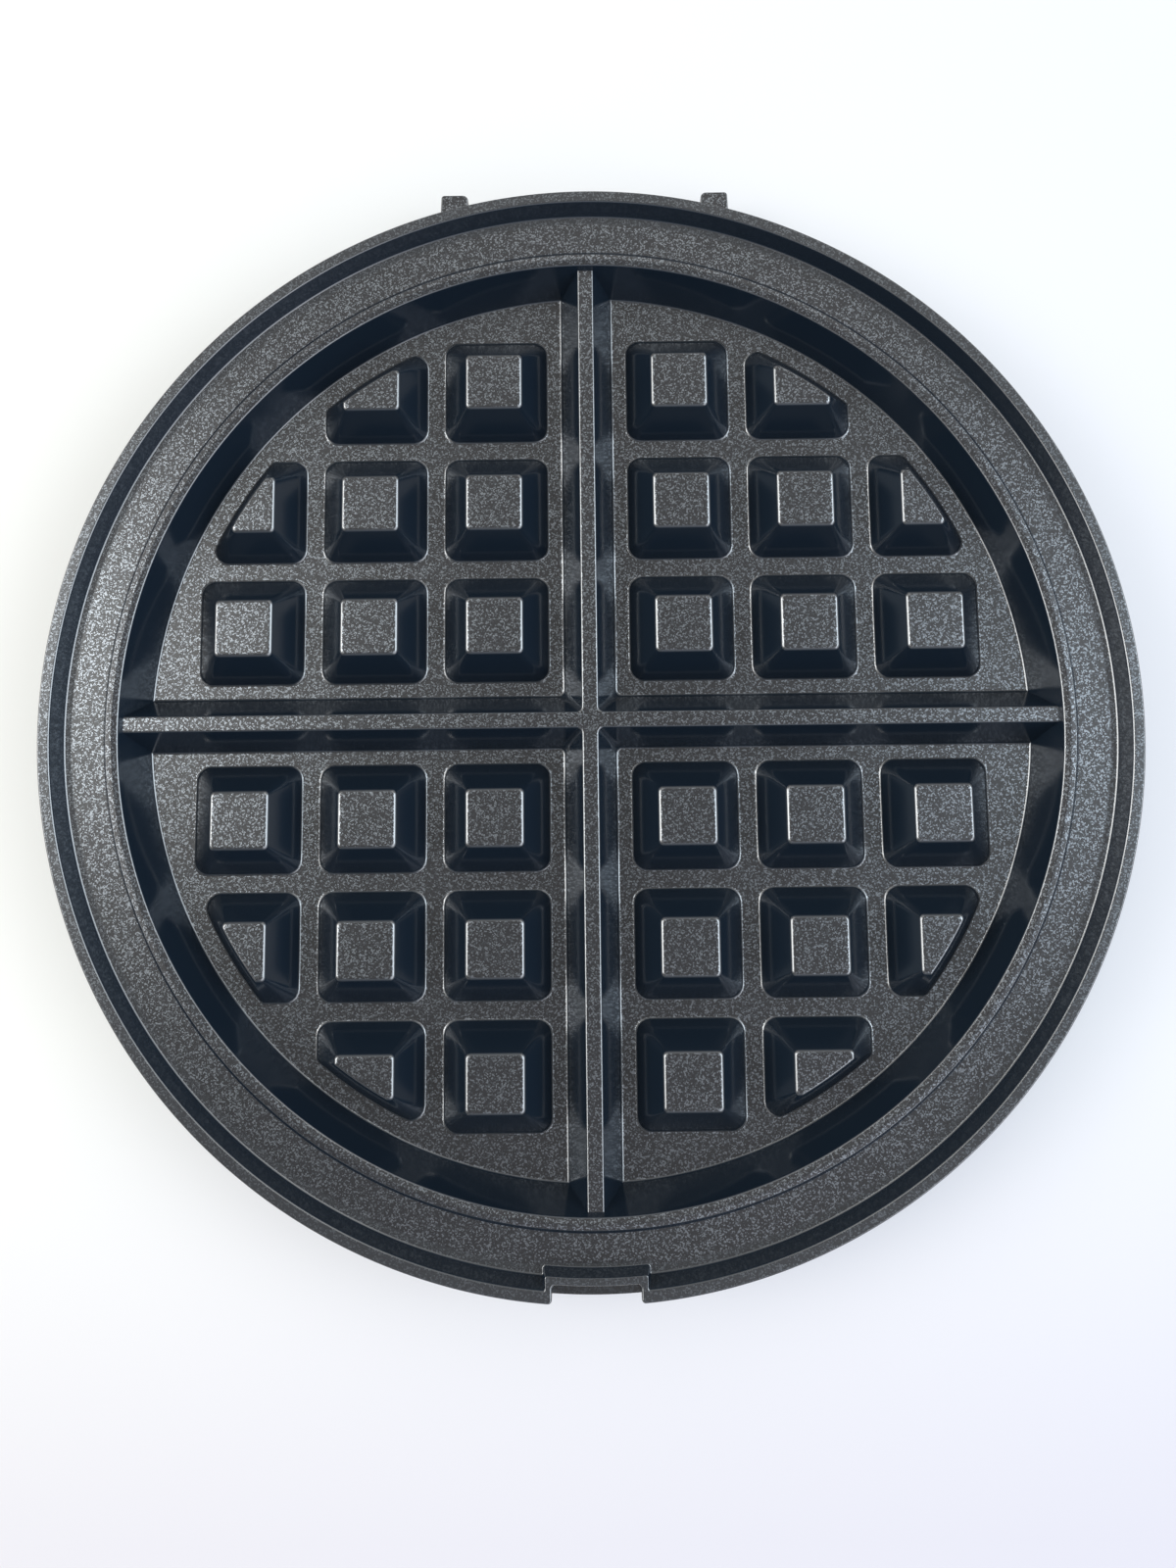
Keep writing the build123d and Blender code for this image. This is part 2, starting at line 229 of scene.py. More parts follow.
class Shell:
    """Gathers faces with a normal at each corner, then makes one mesh of them."""

    def __init__(self):
        self.index = {}
        self.points = []
        self.faces = []
        self.normals = []
        self.flip_x = self.flip_y = 1
        self.swap = False

    def aim(self, flip_x, flip_y, swap=False):
        """What is added from here on is mirrored to this quadrant, and swapped across its diagonal."""
        self.flip_x, self.flip_y, self.swap = flip_x, flip_y, swap

    def placed(self, x, y):
        if self.swap:
            x, y = y, x
        return x * self.flip_x, y * self.flip_y

    def vertex(self, point, normal):
        """Points with the same place and normal are one vertex, so a hard edge has a vertex for
        either side."""
        place = (*self.placed(point[0], point[1]), point[2])
        key = (
            *(round(length, place_digits) for length in place),
            *(round(share, normal_digits) for share in normal),
        )
        if key not in self.index:
            self.index[key] = len(self.points)
            self.points.append(tuple(length * MM for length in place))
        return self.index[key]

    def face(self, corners):
        """Adds a face from (point, normal) pairs, anticlockwise seen from outside."""
        if (self.flip_x * self.flip_y < 0) != self.swap:
            corners = list(reversed(corners))
        ids, normals = [], []
        for point, normal in corners:
            normal = (*self.placed(normal[0], normal[1]), normal[2])
            number = self.vertex(point, normal)
            if ids and ids[-1] == number:
                continue
            ids.append(number)
            normals.append(normal)
        if len(ids) > 1 and ids[0] == ids[-1]:
            ids.pop()
            normals.pop()
        if len(set(ids)) == len(ids) and len(ids) > 2:
            self.faces.append(ids)
            self.normals.extend(normals)

    def stack(self, levels, closed):
        """Joins outlines of equal count. A level is (outline, height, normal before, normal after),
        where the normals are (outward, upward)."""
        pairs = list(zip(levels, levels[1:]))
        if closed:
            pairs.append((levels[-1], levels[0]))
        for (outline, z, _, leaving), (next_outline, next_z, arriving, _) in pairs:
            count = len(outline)
            for here in range(count):
                there = (here + 1) % count
                self.face(
                    [
                        corner(outline[here], AFTER, z, leaving),
                        corner(outline[there], BEFORE, z, leaving),
                        corner(next_outline[there], BEFORE, next_z, arriving),
                        corner(next_outline[here], AFTER, next_z, arriving),
                    ]
                )

    def cap(self, outline, z, up):
        """A level face within an outline."""
        points = outline if up else list(reversed(outline))
        self.face([((p[0], p[1], z), (0, 0, 1 if up else -1)) for p in points])

    def sheet(self, loops, z, up):
        """A level face with holes: the first loop is its outline, and the others are the holes."""
        points, edges = [], []
        for loop in loops:
            first, count = len(points), len(loop)
            points += [Vector((p[0], p[1])) for p in loop]
            edges += [(first + k, first + (k + 1) % count) for k in range(count)]
        made, _, triangles, *_ = delaunay_2d_cdt(
            points, edges, [], sheet_within_loops, sheet_merge
        )
        for triangle in triangles:
            corners = [made[i] for i in triangle]
            middle = sum(corners, Vector((0, 0))) / 3
            if any(inside(middle, hole) for hole in loops[1:]):
                continue
            if not up:
                corners.reverse()
            self.face([((p.x, p.y, z), (0, 0, 1 if up else -1)) for p in corners])

    def slab(self, outline, holes, bottom, top):
        """A level plate with upright sides and upright holes."""
        loops = [outline] + holes
        self.sheet(loops, top, up=True)
        self.sheet(loops, bottom, up=False)
        out, back = (1, 0), (-1, 0)
        self.stack([(outline, bottom, out, out), (outline, top, out, out)], closed=False)
        for hole in holes:
            self.stack([(hole, top, back, back), (hole, bottom, back, back)], closed=False)

    def build(self, name, material, *nodes):
        """The piece of these faces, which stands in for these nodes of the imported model."""
        mesh = bpy.data.meshes.new(name)
        mesh.from_pydata(self.points, [], self.faces)
        mesh.polygons.foreach_set("use_smooth", [True] * len(mesh.polygons))
        mesh.normals_split_custom_set(self.normals)
        mesh.materials.append(material)
        piece = bpy.data.objects.new(name, mesh)
        bpy.context.scene.collection.objects.link(piece)
        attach(piece, "root")
        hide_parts(*nodes)
        return piece


def inside(point, loop):
    """True if the point is within the loop, by the edges that it has to its right."""
    crossings = 0
    for here, there in zip(loop, loop[1:] + loop[:1]):
        if (here[1] > point.y) != (there[1] > point.y):
            share = (point.y - here[1]) / (there[1] - here[1])
            crossings += point.x < here[0] + share * (there[0] - here[0])
    return crossings % 2 == 1


def corner(point, side, z, lean):
    """The corner of a stack's face. Its normal is the outline's on that side of the point, leaned."""
    plan = point[side]
    return (point[0], point[1], z), (plan[0] * lean[0], plan[1] * lean[0], lean[1])


def levels_of(section, outline_at):
    """The levels of a stack, from a section across the wall and the outline at each of its points."""
    return [(outline_at(r, z), z, before, after) for r, z, before, after in section]


def arc_point(radius, x):
    """The front point of a circle at this X."""
    return x, -sqrt(radius * radius - x * x)


def notched(radius, half, face_radius, mouth_round, corner_round):
    """A circle that bends inwards round the front notch, as a closed outline."""
    mouth = asin(half / radius) + notch_margin
    start, span = -pi / 2 + mouth, 2 * pi - 2 * mouth
    corners = [
        (radius * cos(start + span * k / ring_steps), radius * sin(start + span * k / ring_steps), None)
        for k in range(ring_steps + 1)
    ]
    corners.append((*arc_point(radius, -half), mouth_round))
    corners.append((*arc_point(face_radius, -half), corner_round))
    for step in range(1, arc_steps):
        x = half * notch_face_share * (2 * step / arc_steps - 1)
        corners.append((*arc_point(face_radius, x), None))
    corners.append((*arc_point(face_radius, half), corner_round))
    corners.append((*arc_point(radius, half), mouth_round))
    return rounded(corners)


def inner_outline(radius):
    """The gutter side of the rim at a radius between its top edge and its seam."""
    way = rim_inner_radius - radius
    return notched(
        radius,
        notch_half + notch_side_wall + way * notch_side_lean,
        outer_radius - notch_depth - notch_wall_top - way * notch_face_lean,
        max(notch_mouth_round - way * notch_mouth_sharpening, notch_mouth_round_least),
        notch_wall_round + max(way, notch_wall_way_least) * notch_wall_softening,
    )


def outer_outline(radius):
    """The outside of the rim, which dips into the notch."""
    inset = outer_radius - radius
    return notched(
        radius,
        notch_half + inset,
        outer_radius - notch_depth - inset,
        notch_round - inset,
        notch_round + inset,
    )


def ring_outline(radius):
    points = []
    for step in range(ring_steps):
        normal = turned((1, 0), 2 * pi * step / ring_steps)
        points.append((normal[0] * radius, normal[1] * radius, normal, normal))
    return points


# Where the pieces meet, a little beyond the rounds
rim_reach = foot_reach(rim_foot_round, rim_foot_run, rim_top - gutter_top)
dish_radius = rim_foot_radius - rim_reach - dish_width
rim_seam_radius = dish_radius - 2 * seam_land
ridge_seam_radius = ridge_outer_radius + seam_land
cavity_foot_reach = foot_reach(cavity_foot_round, wall_lean, 1.0)
floor_radius = cavity_radius - cavity_foot_reach - seam_land
wall_seam_radius = cavity_radius + wall_lean * (gutter_underside - floor_top)
wall_outer_radius = wall_seam_radius + cavity_wall_thickness * sqrt(1 + wall_lean**2)
rib_side_run = rib_base_half - rib_top_half
rib_land_half = (
    rib_base_half + foot_reach(rib_foot_round, rib_side_run, rib_top - floor_top) + seam_land
)
peg_seam_half = (
    peg_base_half + foot_reach(peg_foot_round, peg_side_run, peg_top - floor_top) + seam_land
)


def make_rim(coating):
    section = rounded(
        [
            (rim_seam_radius, gutter_underside, 0),
            (outer_radius, gutter_underside, 0),
            (outer_radius, rim_top, rim_outer_round),
            (rim_inner_radius, rim_top, rim_inner_round),
            (rim_foot_radius, gutter_top + dish_rise, rim_foot_round),
            (dish_radius, gutter_top, dish_round),
            (rim_seam_radius, gutter_top, 0),
        ]
    )

    def outline(radius, z):
        return outer_outline(radius) if radius > rim_split_radius else inner_outline(radius)

    shell = Shell()
    shell.stack(levels_of(section, outline), closed=True)
    return shell.build("rim_wall", coating, "outer_rim")


def make_gutter(coating):
    outline, hole = inner_outline(rim_seam_radius), ring_outline(ridge_seam_radius)
    shell = Shell()
    shell.slab(outline, [hole], gutter_underside, gutter_top)
    return shell.build("gutter_floor", coating, "overflow_gutter")


def make_ring(name, corners, coating, cad_node):
    shell = Shell()
    shell.stack(levels_of(rounded(corners), lambda radius, z: ring_outline(radius)), closed=True)
    return shell.build(name, coating, cad_node)


def wall_line(z):
    """The radius of the cavity's side at a height, without its rounds."""
    return cavity_radius + wall_lean * (z - floor_top)


def make_ridge(coating):
    corners = [
        (wall_seam_radius, gutter_underside, 0),
        (ridge_seam_radius, gutter_underside, 0),
        (ridge_seam_radius, gutter_top, 0),
        (ridge_outer_radius, gutter_top, ridge_foot_round),
        (ridge_outer_radius - ridge_step_run, ridge_top - ridge_step_drop, ridge_top_round),
        (ridge_outer_radius - ridge_crown_run, ridge_top, ridge_crown_round),
        (wall_line(ridge_top - ridge_inner_drop), ridge_top - ridge_inner_drop, ridge_inner_round),
    ]
    return make_ring("sealing_bead", corners, coating, "sealing_ridge")


def make_cavity_wall(coating):
    corners = [
        (floor_radius, 0, 0),
        (wall_outer_radius - wall_lean * gutter_underside, 0, 0),
        (wall_outer_radius, gutter_underside, 0),
        (wall_seam_radius, gutter_underside, 0),
        (cavity_radius, floor_top, cavity_foot_round),
        (floor_radius, floor_top, 0),
    ]
    return make_ring("cavity_side", corners, coating, "cavity_wall")


def make_skirt(coating):
    section = rounded(
        [
            (outer_radius - skirt_wall, skirt_bottom, 0),
            (outer_radius, skirt_bottom, skirt_edge_round),
            (outer_radius, gutter_underside, 0),
            (outer_radius - skirt_wall, gutter_underside, 0),
        ]
    )

    def outline(radius, z):
        if radius > outer_radius - skirt_wall / 2:
            inset = outer_radius - radius
            face_radius = outer_radius - notch_depth + inset * notch_boss_draft
            return notched(radius, notch_half, face_radius, sharp_round, notch_round)
        half = notch_half + notch_side_wall
        return notched(
            radius, half, outer_radius - latch_boss_depth, sharp_round, sharp_round
        )

    shell = Shell()
    shell.stack(levels_of(section, outline), closed=True)
    return shell.build("skirt_wall", coating, "outer_skirt")


def square_outline(centre_x, centre_y, half, corner_round):
    return rounded(
        [
            (centre_x + half, centre_y - half, corner_round),
            (centre_x + half, centre_y + half, corner_round),
            (centre_x - half, centre_y + half, corner_round),
            (centre_x - half, centre_y - half, corner_round),
        ]
    )


def cut_outline(half, radius, corner_round):
    """The outline of the peg next to the corner of the grid, cut by an arc about the plate's axis."""
    x_low = peg_centres[2] - half
    y_low, y_high = peg_centres[1] - half, peg_centres[1] + half
    right = atan2(y_low, sqrt(radius**2 - y_low**2))
    left = atan2(y_high, sqrt(radius**2 - y_high**2))
    corners = [(x_low, y_low, corner_round), (radius * cos(right), y_low, corner_round)]
    for step in range(arc_steps + 1):
        share = cut_arc_start + cut_arc_share * step / arc_steps
        angle = right + (left - right) * share
        corners.append((radius * cos(angle), radius * sin(angle), None))
    blunt = corner_round * cut_blunt_share
    corners += [(radius * cos(left), y_high, blunt), (x_low, y_high, corner_round)]
    return rounded(corners)


def peg_share(half):
    """0 at the peg's top edge and 1 at its foot."""
    return (half - peg_top_half) / peg_side_run


def peg_outline(x, y, half):
    """The outside of a whole peg where it is this wide."""
    spread = peg_base_corner - peg_top_corner
    return square_outline(x, y, half, peg_top_corner + spread * peg_share(half))


def cut_peg_outline(half):
    """The outside of a cut peg where it is this wide."""
    share = peg_share(half)
    radius = cut_top_radius + (cut_base_radius - cut_top_radius) * share
    corner_round = cut_tip_corner + (peg_base_corner - cut_tip_corner) * share
    return cut_outline(half, radius, corner_round)


def peg_section(core_top_half, core_top):
    """Half width against height, from the ceiling of the core round to the peg's top."""
    corners = [
        (0, core_top, 0),
        (core_top_half, core_top, 0),
        (peg_base_half - peg_core_wall, 0, 0),
        (peg_seam_half, 0, 0),
        (peg_seam_half, floor_top, 0),
        (peg_base_half, floor_top, peg_foot_round),
        (peg_top_half, peg_top, peg_edge_round),
        (0, peg_top, 0),
    ]
    return rounded(corners)[1:-1]


def add_peg(shell, section, outside, core):
    """The section starts with the core's two points, and the others are the outside's."""
    levels = levels_of(section[:2], core) + levels_of(section[2:], outside)
    shell.stack(levels, closed=False)
    shell.cap(levels[0][0], levels[0][1], up=False)
    shell.cap(levels[-1][0], levels[-1][1], up=True)


def add_full_peg(shell, x, y):
    section = peg_section(peg_top_half - peg_core_wall, peg_top - peg_cap_wall)

    def outside(half, z):
        return peg_outline(x, y, half)

    def core(half, z):
        return square_outline(x, y, half, core_corner)

    add_peg(shell, section, outside, core)


def add_cut_peg(shell):
    core_run = peg_side_run * cut_core_height / (peg_top - floor_top)
    core_top = floor_top + cut_core_height
    section = peg_section(peg_base_half - peg_core_wall - core_run, core_top)

    def outside(half, z):
        return cut_peg_outline(half)

    def core(half, z):
        radius = cut_base_radius - peg_core_wall - cut_core_lean * z / core_top
        return cut_outline(half, radius, core_corner)

    add_peg(shell, section, outside, core)


def full_peg_places():
    return [
        (x, y)
        for row, y in enumerate(peg_centres)
        for column, x in enumerate(peg_centres)
        if row + column < len(peg_centres)
    ]


QUADRANTS = {
    "rear_right": (1, 1),
    "rear_left": (-1, 1),
    "front_right": (1, -1),
    "front_left": (-1, -1),
}


def make_pegs(quadrant, coating):
    flip_x, flip_y = QUADRANTS[quadrant]
    shell = Shell()
    shell.aim(flip_x, flip_y)
    for x, y in full_peg_places():
        add_full_peg(shell, x, y)
    add_cut_peg(shell)
    shell.aim(flip_x, flip_y, swap=True)
    add_cut_peg(shell)
    return shell.build(f"grid_pegs_{quadrant}", coating, f"waffle_pegs_{quadrant}")


def floor_loops():
    """The quadrant's outline, between two ribs and the cavity's foot, and the holes round its pegs."""
    near = rib_land_half
    far = sqrt(floor_radius**2 - near**2)
    first, last = atan2(near, far), atan2(far, near)
    steps = ring_steps // 4
    arc = [first + (last - first) * k / steps for k in range(steps + 1)]
    corners = [(floor_radius * cos(a), floor_radius * sin(a), None) for a in arc]
    corners[0] = (far, near, 0)
    corners[-1] = (near, far, 0)
    outline = rounded([(near, near, rib_valley_round)] + corners)
    holes = [peg_outline(x, y, peg_seam_half) for x, y in full_peg_places()]
    cut = cut_peg_outline(peg_seam_half)
    swapped = [(p[1], p[0], p[AFTER][::-1], p[BEFORE][::-1]) for p in reversed(cut)]
    return outline, holes + [cut, swapped]


def make_floor(quadrant, coating):
    outline, holes = floor_loops()
    shell = Shell()
    shell.aim(*QUADRANTS[quadrant])
    shell.slab(outline, holes, 0, floor_top)
    return shell.build(f"grid_base_{quadrant}", coating, f"grid_floor_{quadrant}")


def wall_radius_at(z):
    """The radius of the cavity's side at a height, with its foot round."""
    sloping = wall_line(z)
    if z <= floor_top:
        return floor_radius
    rise = cavity_foot_round - (z - floor_top)
    if rise <= 0:
        return sloping
    rounding = cavity_radius - cavity_foot_reach + sqrt(cavity_foot_round**2 - rise**2)
    return min(sloping, rounding)


def rib_section():
    return rounded(
        [
            (-rib_land_half, 0, 0),
            (rib_land_half, 0, 0),
            (rib_land_half, floor_top, 0),
            (rib_base_half, floor_top, rib_foot_round),
            (rib_top_half, rib_top, rib_edge_round),
            (-rib_top_half, rib_top, rib_edge_round),
            (-rib_base_half, floor_top, rib_foot_round),
            (-rib_land_half, floor_top, 0),
        ]
    )


def make_rib(name, turn, coating):
    """The arm of the cross that points along +Y, with its groove below, turned to its place."""
    section = rib_section()
    start, groove_end = hub_half, floor_radius - cavity_wall_thickness
    lean = rib_side_run / (rib_top - floor_top)
    mouth = rib_base_half - rib_groove_wall + lean * floor_top
    ceiling = rib_top - rib_cap_wall
    crown = mouth - lean * ceiling
    shell = Shell()

    def aimed(x, y, z):
        return (*turned((x, y), turn), z)

    def spot(x, z, y):
        """The section's point at this x and z, at this distance from the plate's axis."""
        return aimed(x, y, z)

    def end(x, z):
        """Where the arm meets the cavity's side."""
        return sqrt(wall_radius_at(z) ** 2 - x**2)

    count = len(section)
    for here in range(1, count):
        x, z, _, leaving = section[here]
        next_x, next_z, arriving, _ = section[(here + 1) % count]
        here_normal = aimed(leaving[0], 0, leaving[1])
        next_normal = aimed(arriving[0], 0, arriving[1])
        shell.face(
            [
                (spot(x, z, start), here_normal),
                (spot(x, z, end(x, z)), here_normal),
                (spot(next_x, next_z, end(next_x, next_z)), next_normal),
                (spot(next_x, next_z, start), next_normal),
            ]
        )
    down, back, front = (0, 0, -1), aimed(0, -1, 0), aimed(0, 1, 0)
    land = rib_land_half
    base = [
        (-land, start), (-land, end(land, 0)), (land, end(land, 0)), (land, start),
        (mouth, start), (mouth, groove_end), (-mouth, groove_end), (-mouth, start),
    ]
    shell.face([(spot(x, 0, y), down) for x, y in base])
    groove = [(mouth, 0), (crown, ceiling), (-crown, ceiling), (-mouth, 0)]
    for (x, z), (next_x, next_z) in zip(groove, groove[1:]):
        outward = unit(next_z - z, x - next_x)
        normal = aimed(outward[0], 0, outward[1])
        shell.face(
            [
                (spot(x, z, start), normal),
                (spot(x, z, groove_end), normal),
                (spot(next_x, next_z, groove_end), normal),
                (spot(next_x, next_z, start), normal),
            ]
        )
    shell.face([(spot(x, z, groove_end), back) for x, z in groove])
    shell.face([(spot(p[0], p[1], end(p[0], p[1])), front) for p in reversed(section)])
    open_end = [(p[0], p[1]) for p in section[1:]] + [(section[0][0], section[0][1])]
    shell.face([(spot(x, z, start), back) for x, z in open_end + list(reversed(groove))])
    return shell.build(f"cross_arm_{name}", coating, f"divider_rib_{name}")


def plus_outline(half):
    """The hub's outline at one level: four arms with a round in each valley."""
    arm, valley = hub_half, rib_valley_round
    return rounded(
        [
            (half, -arm, 0), (half, -half, valley), (arm, -half, 0),
            (arm, half, 0), (half, half, valley), (half, arm, 0),
            (-half, arm, 0), (-half, half, valley), (-arm, half, 0),
            (-arm, -half, 0), (-half, -half, valley), (-half, -arm, 0),
        ]
    )


def make_hub(coating):
    section = rounded(
        [
            (0, 0, 0),
            (rib_land_half, 0, 0),
            (rib_land_half, floor_top, 0),
            (rib_base_half, floor_top, rib_foot_round),
            (rib_top_half, rib_top, rib_edge_round),
            (0, rib_top, 0),
        ]
    )[1:-1]
    levels = levels_of(section, lambda half, z: plus_outline(half))
    shell = Shell()
    shell.stack(levels, closed=False)
    shell.cap(levels[0][0], 0, up=False)
    shell.cap(levels[-1][0], rib_top, up=True)
    return shell.build("cross_middle", coating, "centre_hub")


def make_lug(name, side, coating):
    """The tongue behind the rim, with soft corners and edges. Its section runs from the plate's
    axis to the tip."""
    near, far = (lug_left_x, lug_right_x) if side > 0 else (-lug_right_x, -lug_left_x)
    rounds = (lug_inner_round, lug_outer_round)
    near_round, far_round = rounds if side > 0 else reversed(rounds)
    near_foot, far_foot = near - lug_foot_flare, far + lug_foot_flare

    def rim_point(x):
        return x, sqrt(outer_radius**2 - x**2) - lug_sink, 0

    def outline(inset, z):
        return rounded(
            [
                rim_point(near_foot + inset),
                rim_point(far_foot - inset),
                (far + lug_tip_flare - inset, lug_reach - inset, far_round - inset),
                (near - lug_tip_flare + inset, lug_reach - inset, near_round - inset),
            ]
        )

    section = rounded(
        [
            (-lug_reach, lug_bottom, 0),
            (0, lug_bottom, lug_edge_round),
            (0, gutter_underside, lug_edge_round),
            (-lug_reach, gutter_underside, 0),
        ]
    )[1:-1]
    levels = [(outline(-r, z), z, before, after) for r, z, before, after in section]
    shell = Shell()
    shell.stack(levels, closed=False)
    shell.cap(levels[0][0], lug_bottom, up=False)
    shell.cap(levels[-1][0], gutter_underside, up=True)
    return shell.build(f"tongue_{name}", coating, f"rear_lug_{name}")


# A Mix node's sockets for two colours and for the colour that it gives
mix_first, mix_second, mix_colour = 6, 7, 2


def node(tree, kind, inputs=None, **settings):
    """A new node. An input is linked if it is the output of a node, and set if it is a value."""
    made = tree.nodes.new(kind)
    for key, value in settings.items():
        setattr(made, key, value)
    for key, value in (inputs or {}).items():
        socket = made.inputs[key]
        if isinstance(value, bpy.types.NodeSocket):
            tree.links.new(value, socket)
        else:
            socket.default_value = value
    return made


def maths(tree, operation, *values, **settings):
    """What a Math node makes of these values."""
    inputs = dict(enumerate(values))
    made = node(tree, "ShaderNodeMath", inputs, operation=operation, **settings)
    return made.outputs[0]


def ramp(tree, value, start, end, least=0.0, most=1.0, **settings):
    """Goes from least to most while the value goes from start to end."""
    inputs = {
        "Value": value, "From Min": start, "From Max": end, "To Min": least, "To Max": most
    }
    return node(tree, "ShaderNodeMapRange", inputs, **settings).outputs["Result"]


def blend(tree, factor, first, second, **settings):
    """Goes from the first colour to the second while the factor goes from 0 to 1."""
    inputs = {"Factor": factor, mix_first: first, mix_second: second}
    made = node(tree, "ShaderNodeMix", inputs, data_type="RGBA", **settings)
    return made.outputs[mix_colour]


def fresh_material(name):
    material = bpy.data.materials.new(name)
    material.use_nodes = True
    tree = material.node_tree
    tree.nodes.clear()
    return material, tree


# The coating's colours
base_dark = (0.0101, 0.0178, 0.029, 1)
level_dark = (0.0105, 0.0105, 0.0125, 1)
flake_grey = (0.26, 0.28, 0.303, 1)
# The edge grey is the colour of a painted highlight on the rounded edges
painted_edge_highlight_grey = (0.7, 0.71, 0.72, 1)
# How far up a normal points where the flakes begin and where they all lie, so that steep walls stay
# darker as painted shade, and where the painted highlight of a rounded edge is full and where it ends
level_from = 0.6
level_full = 0.97
painted_edge_highlight_full = 0.93
painted_edge_highlight_end = 0.98
# How far left or right a normal points where the painted highlight on an edge begins and where it is
# full, and the share of silver in that painted highlight where it is full and where it is weakest
painted_highlight_sideways_from = 0.15
painted_highlight_sideways_full = 0.6
painted_edge_highlight_share = 0.42
painted_edge_highlight_least = 0.27
# The flakes: their size, the draws up to which a cell is bare and from which it is a flake, and
# the share of silver on either. The floors, the latch ledge and the rim have shares of their own.
# The smaller shares of the floors and the latch ledge make them darker, which is painted shade.
flake_size = 0.24
flake_bare = 0.62
flake_full = 0.85
flake_least = 0.02
flake_share = 1.0
floor_painted_shade_flake_share = 0.86
ledge_painted_shade_flake_share = 0.3
rim_flake_least = 0.09
rim_flake_share = 0.68
flake_metal = 2.5
# The coating's gloss and grain. The relief is the grain's strength on level faces.
satin_roughness = 0.13
flake_roughness = 0.26
coating_ior = 1.65
flake_relief = 0.15
grain_size = 0.26
grain_depth = 0.013
grain_detail = 2.0
grain_roughness = 0.5


def make_coating(name, least=flake_least, share=flake_share):
    """Blue-black satin coating. Its fine silver flakes lie on the level faces only, so the steep walls
    stay darker, which is painted shade. The rounded edges carry a painted highlight of even silver,
    which is the brightest where they face left or right."""
    material, tree = fresh_material(name)
    place = node(tree, "ShaderNodeTexCoord").outputs["Object"]
    facing = node(tree, "ShaderNodeNewGeometry").outputs["Normal"]
    lean = node(tree, "ShaderNodeSeparateXYZ", {"Vector": facing}).outputs
    # Flakes only on level faces: steep walls without them stay darker, which is painted shade
    level_flakes_and_wall_shade = ramp(tree, lean["Z"], level_from, level_full, interpolation_type="SMOOTHSTEP")
    # Painted highlight: rounded edges turn an even silver, the brightest where they face left or right
    painted_edge_highlight_mask = ramp(tree, lean["Z"], painted_edge_highlight_full, painted_edge_highlight_end, 1.0, 0.0)
    bearing = maths(tree, "ARCTAN2", lean["X"], lean["Y"])
    across = maths(tree, "ABSOLUTE", maths(tree, "SINE", bearing))
    painted_highlight_sideways = ramp(
        tree, across, painted_highlight_sideways_from, painted_highlight_sideways_full, interpolation_type="SMOOTHSTEP"
    )
    cells = node(
        tree, "ShaderNodeTexVoronoi", {"Vector": place, "Scale": 1 / (flake_size * MM)}, feature="F1"
    )
    draws = node(tree, "ShaderNodeSeparateColor", {"Color": cells.outputs["Color"]})
    shine = ramp(tree, draws.outputs["Red"], flake_bare, flake_full, least, share)
    painted_edge_highlight_fill = ramp(tree, painted_highlight_sideways, 0.0, 1.0, painted_edge_highlight_least, painted_edge_highlight_share)
    flake_shine_or_edge_highlight = node(tree, "ShaderNodeMix", {"Factor": painted_edge_highlight_mask, "A": shine, "B": painted_edge_highlight_fill}).outputs["Result"]
    flakes_and_edge_highlight = maths(tree, "MULTIPLY", flake_shine_or_edge_highlight, level_flakes_and_wall_shade)
    # Where the painted edge highlight is the brightest: edges that face left or right
    painted_sideways_edge_highlight = maths(tree, "MULTIPLY", painted_edge_highlight_mask, painted_highlight_sideways)
    ground = blend(tree, level_flakes_and_wall_shade, base_dark, level_dark)
    flake_and_edge_highlight_silver = blend(tree, painted_sideways_edge_highlight, flake_grey, painted_edge_highlight_grey)
    grain = node(
        tree, "ShaderNodeTexNoise",
        {
            "Vector": place,
            "Scale": 1 / (grain_size * MM),
            "Detail": grain_detail,
            "Roughness": grain_roughness,
        },
    )
    bump = node(
        tree, "ShaderNodeBump",
        {
            "Height": grain.outputs["Fac"],
            "Distance": grain_depth * MM,
            "Strength": maths(tree, "MULTIPLY", level_flakes_and_wall_shade, flake_relief),
        },
    )
    skin = node(
        tree, "ShaderNodeBsdfPrincipled",
        {
            "Base Color": blend(tree, flakes_and_edge_highlight, ground, flake_and_edge_highlight_silver),
            "Metallic": maths(tree, "MULTIPLY", flakes_and_edge_highlight, flake_metal, use_clamp=True),
            "Roughness": ramp(tree, level_flakes_and_wall_shade, 0.0, 1.0, satin_roughness, flake_roughness),
            "IOR": coating_ior,
            "Normal": bump.outputs["Normal"],
        },
    )
    node(tree, "ShaderNodeOutputMaterial", {"Surface": skin.outputs["BSDF"]})
    return material


# The white surface: its own colour, then what the camera sees mixed into it at its front, rear,
# left and right, and where these lie. What the camera sees is a painted glow of light, dimmer and
# bluer in front and bluer on the right.
surface_white = (0.88, 0.84, 0.82, 1)
surface_roughness = 0.6
surface_half = 1500
front_white = (0.68, 0.65, 0.79, 1)
rear_white = (1.06, 1.06, 1.05, 1)
painted_light_tint_left = (1.0, 1.05, 1.0, 1)
painted_light_tint_right = (0.78, 0.89, 1.06, 1)
white_front = -150
white_rear = -60
white_side = 115
white_share = 0.42


